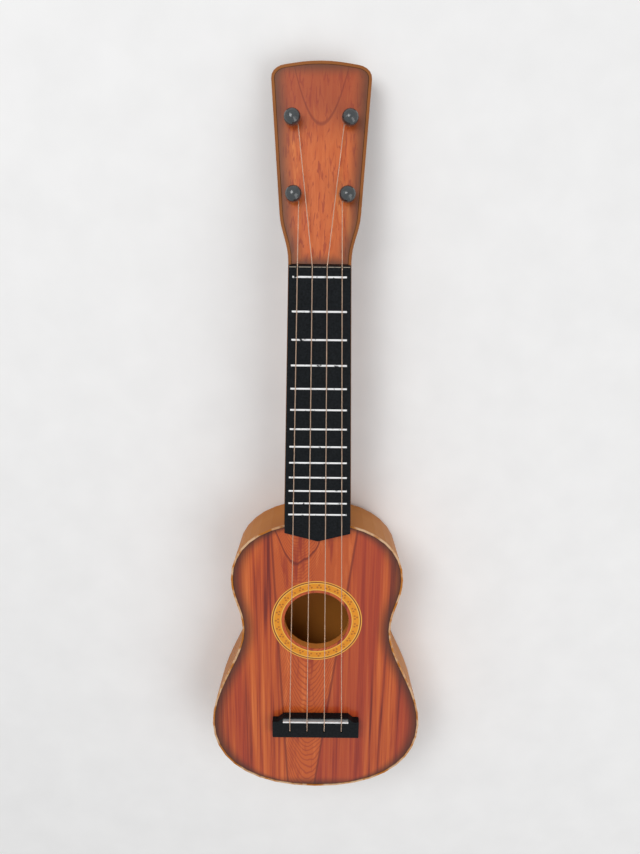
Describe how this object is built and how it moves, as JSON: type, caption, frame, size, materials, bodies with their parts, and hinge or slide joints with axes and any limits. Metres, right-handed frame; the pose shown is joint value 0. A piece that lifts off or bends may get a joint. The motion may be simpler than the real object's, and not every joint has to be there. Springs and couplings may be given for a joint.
{
  "type": "toy ukulele",
  "caption": "Small moulded four-string ukulele with a figure-of-eight body, round sound hole, black fretboard and bridge, and turning pegs.",
  "frame": {"origin": "under the middle of the whole length, on the plane that the back rests on", "axes": "+Z out of the soundboard, +Y from the tail end towards the headstock, +X across to the right as seen from the front"},
  "size_m": [0.1688, 0.5662, 0.0599],
  "materials": {
    "golden_shell": "satin golden brown moulding",
    "printed_wood": "gloss, printed with red-brown wood grain",
    "black_plastic": "satin black",
    "bright_strip": "bright silver-white",
    "nylon": "translucent nylon",
    "peg_plastic": "glossy near-black",
    "washer_plastic": "plain moulded",
    "screw_steel": "plated"
  },
  "bodies": {
    "root": {"body_shell": "golden_shell", "soundboard": "printed_wood", "neck_shell": "golden_shell", "headstock_face": "printed_wood", "fretboard": "black_plastic", "bridge": "black_plastic", "saddle": "bright_strip", "string_1": "nylon", "string_2": "nylon", "string_3": "nylon", "string_4": "nylon", "peg_washer_1": "washer_plastic", "peg_washer_2": "washer_plastic", "peg_washer_3": "washer_plastic", "peg_washer_4": "washer_plastic", "body_screw_1": "screw_steel", "body_screw_2": "screw_steel", "body_screw_3": "screw_steel", "body_screw_4": "screw_steel", "body_screw_5": "screw_steel", "body_screw_6": "screw_steel", "neck_screw_1": "screw_steel", "neck_screw_2": "screw_steel", "face_screw_1": "screw_steel", "face_screw_2": "screw_steel", "face_screw_3": "screw_steel", "bridge_screw_1": "screw_steel", "bridge_screw_2": "screw_steel"},
    "peg_1": {"peg_cap_1": "peg_plastic", "peg_key_1": "peg_plastic"},
    "peg_2": {"peg_cap_2": "peg_plastic", "peg_key_2": "peg_plastic"},
    "peg_3": {"peg_cap_3": "peg_plastic", "peg_key_3": "peg_plastic"},
    "peg_4": {"peg_cap_4": "peg_plastic", "peg_key_4": "peg_plastic"}
  },
  "joints": [
    {"name": "peg_1_turn", "type": "hinge", "parent": "root", "child": "peg_1", "pos_m": [-0.01775, 0.19872, 0.03911], "axis": [0, 0.2419, 0.9703], "continuous": true},
    {"name": "peg_2_turn", "type": "hinge", "parent": "root", "child": "peg_2", "pos_m": [-0.0189, 0.24627, 0.02726], "axis": [0, 0.2419, 0.9703], "continuous": true},
    {"name": "peg_3_turn", "type": "hinge", "parent": "root", "child": "peg_3", "pos_m": [0.0189, 0.24627, 0.02726], "axis": [0, 0.2419, 0.9703], "continuous": true},
    {"name": "peg_4_turn", "type": "hinge", "parent": "root", "child": "peg_4", "pos_m": [0.01775, 0.19872, 0.03911], "axis": [0, 0.2419, 0.9703], "continuous": true}
  ]
}
